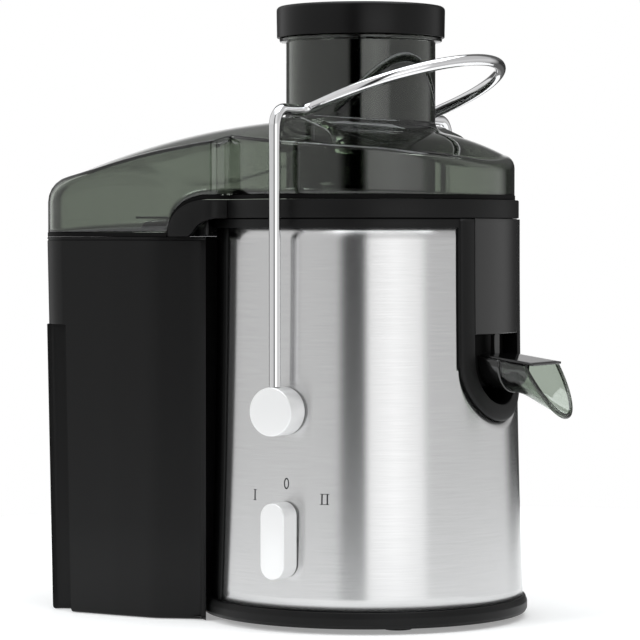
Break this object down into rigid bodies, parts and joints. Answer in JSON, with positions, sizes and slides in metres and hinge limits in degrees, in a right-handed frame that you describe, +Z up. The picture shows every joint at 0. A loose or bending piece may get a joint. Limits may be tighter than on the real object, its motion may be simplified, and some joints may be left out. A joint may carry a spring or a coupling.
{
  "type": "centrifugal juicer",
  "caption": "Upright kitchen juicer: steel-wrapped base, smoky hooded lid with feed chute and pusher, chromed locking bail, short spout and pulp container at its side.",
  "frame": {"origin": "middle of the footprint, on the table", "axes": "+Z up, -Y towards the speed knob at the front, +X towards the spout"},
  "size_m": [0.3324, 0.226, 0.379],
  "materials": {
    "black_plastic": "satin moulded",
    "cap_plastic": "satin",
    "gloss_black": "polished",
    "strainer_sheet": "perforated",
    "smoke_plastic": "polished, see-through",
    "pale_smoke_plastic": "polished, see-through",
    "brushed_steel": "brushed level",
    "chrome": "polished",
    "satin_metal": "satin",
    "steel": "plain",
    "rubber": "matt",
    "laminated_iron": "stacked sheet",
    "copper": "enamelled winding",
    "brass": "plain",
    "white_plastic": "moulded",
    "grey_plastic": "moulded"
  },
  "bodies": {
    "base": {"bottom_cover": "black_plastic", "housing": "black_plastic", "juice_bowl": "black_plastic", "pivot_bush_front": "black_plastic", "pivot_bush_rear": "black_plastic", "lid": "smoke_plastic", "spout": "pale_smoke_plastic", "steel_jacket": "brushed_steel", "cord_gland": "rubber", "shaft_seal": "rubber", "foot_rear_right": "rubber", "foot_rear_left": "rubber", "foot_front_left": "rubber", "foot_front_right": "rubber", "motor_damper_rear_right": "rubber", "motor_damper_rear_left": "rubber", "motor_damper_front_left": "rubber", "motor_damper_front_right": "rubber", "base_screw_rear_right": "steel", "base_screw_rear_left": "steel", "base_screw_front_left": "steel", "base_screw_front_right": "steel", "lower_motor_bracket": "steel", "upper_motor_bracket": "steel", "lower_bearing": "steel", "upper_bearing": "steel", "stator_core": "laminated_iron", "carbon_brush_left": "laminated_iron", "carbon_brush_right": "laminated_iron", "field_coil_front": "copper", "field_coil_rear": "copper", "brush_holder_left": "brass", "brush_holder_right": "brass", "terminal_block": "white_plastic", "rotary_switch": "grey_plastic", "micro_switch": "grey_plastic", "suppression_capacitor": "grey_plastic"},
    "pusher": {"pusher_tube": "gloss_black", "pusher_cap": "cap_plastic"},
    "bail": {"locking_bail": "chrome", "pivot_disc_front": "chrome", "pivot_disc_rear": "chrome", "pivot_pin_front": "steel", "pivot_pin_rear": "steel", "interlock_cam": "white_plastic"},
    "knob": {"speed_knob": "satin_metal", "knob_spindle": "brass"},
    "drive": {"motor_shaft": "steel", "armature": "laminated_iron", "commutator": "copper", "cooling_fan": "white_plastic", "drive_coupling": "black_plastic", "strainer_basket": "strainer_sheet", "grater_disc": "steel"},
    "container": {"pulp_container": "black_plastic"},
    "plunger": {"interlock_plunger": "white_plastic"}
  },
  "joints": [
    {"name": "pusher_slide", "type": "slide", "parent": "base", "child": "pusher", "axis": [0, 0, 1], "range_m": [0, 0.14]},
    {"name": "bail_swing", "type": "hinge", "parent": "base", "child": "bail", "pos_m": [0.02515, 0.0002, 0.132], "axis": [0, 1, 0], "range_deg": [0, 95]},
    {"name": "knob_turn", "type": "hinge", "parent": "base", "child": "knob", "pos_m": [0.02655, -0.1098, 0.055], "axis": [0, -1, 0], "range_deg": [-42, 42]},
    {"name": "drive_spin", "type": "hinge", "parent": "base", "child": "drive", "pos_m": [0.02515, 0.0002, 0.1], "axis": [0, 0, 1], "continuous": true},
    {"name": "container_slide", "type": "slide", "parent": "base", "child": "container", "axis": [-1, 0, 0], "range_m": [0, 0.14]},
    {"name": "plunger_travel", "type": "slide", "parent": "base", "child": "plunger", "axis": [-1, 0, 0], "range_m": [0, 0.0021]}
  ],
  "couplings": [
    {"joint": "plunger_travel", "follows": "bail_swing", "m_per_rad": 0.0012}
  ]
}
